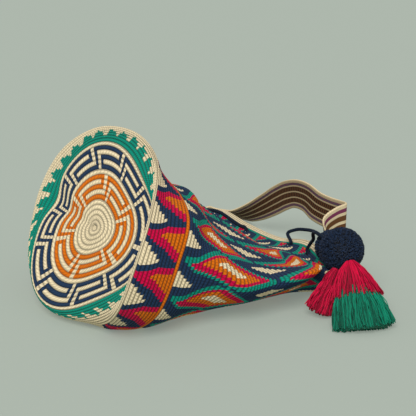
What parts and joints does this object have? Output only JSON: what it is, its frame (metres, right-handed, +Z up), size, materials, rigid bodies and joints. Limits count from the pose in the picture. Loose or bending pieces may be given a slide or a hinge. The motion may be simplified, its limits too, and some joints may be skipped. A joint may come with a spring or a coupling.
{
  "type": "tote bag",
  "caption": "Crocheted bucket bag lying on its side, with a drawstring mouth, a woven strap, pompoms and tassels.",
  "frame": {"origin": "on the floor plane, under the middle of the bag", "axes": "+Z up, +X along the bag from its base towards its mouth, +Y away from the side seen in the picture"},
  "size_m": [0.3912, 0.4632, 0.1965],
  "materials": {
    "crochet_yarn": "tight crochet in beige, orange, magenta, teal and navy cotton",
    "cord_yarn": "twisted navy cord",
    "woven_strap": "woven band with purple and brown stripes on beige",
    "pompom_yarn": "cut navy pile",
    "magenta_yarn": "combed magenta strands",
    "teal_yarn": "combed teal strands"
  },
  "bodies": {
    "root": {"bag_body": "crochet_yarn", "drawstring": "cord_yarn", "strap": "woven_strap", "pompom_front": "pompom_yarn", "pompom_back": "pompom_yarn", "tassel_front_skirt": "magenta_yarn", "tassel_front_brush": "teal_yarn", "tassel_back_skirt": "magenta_yarn", "tassel_back_brush": "magenta_yarn"}
  },
  "joints": []
}
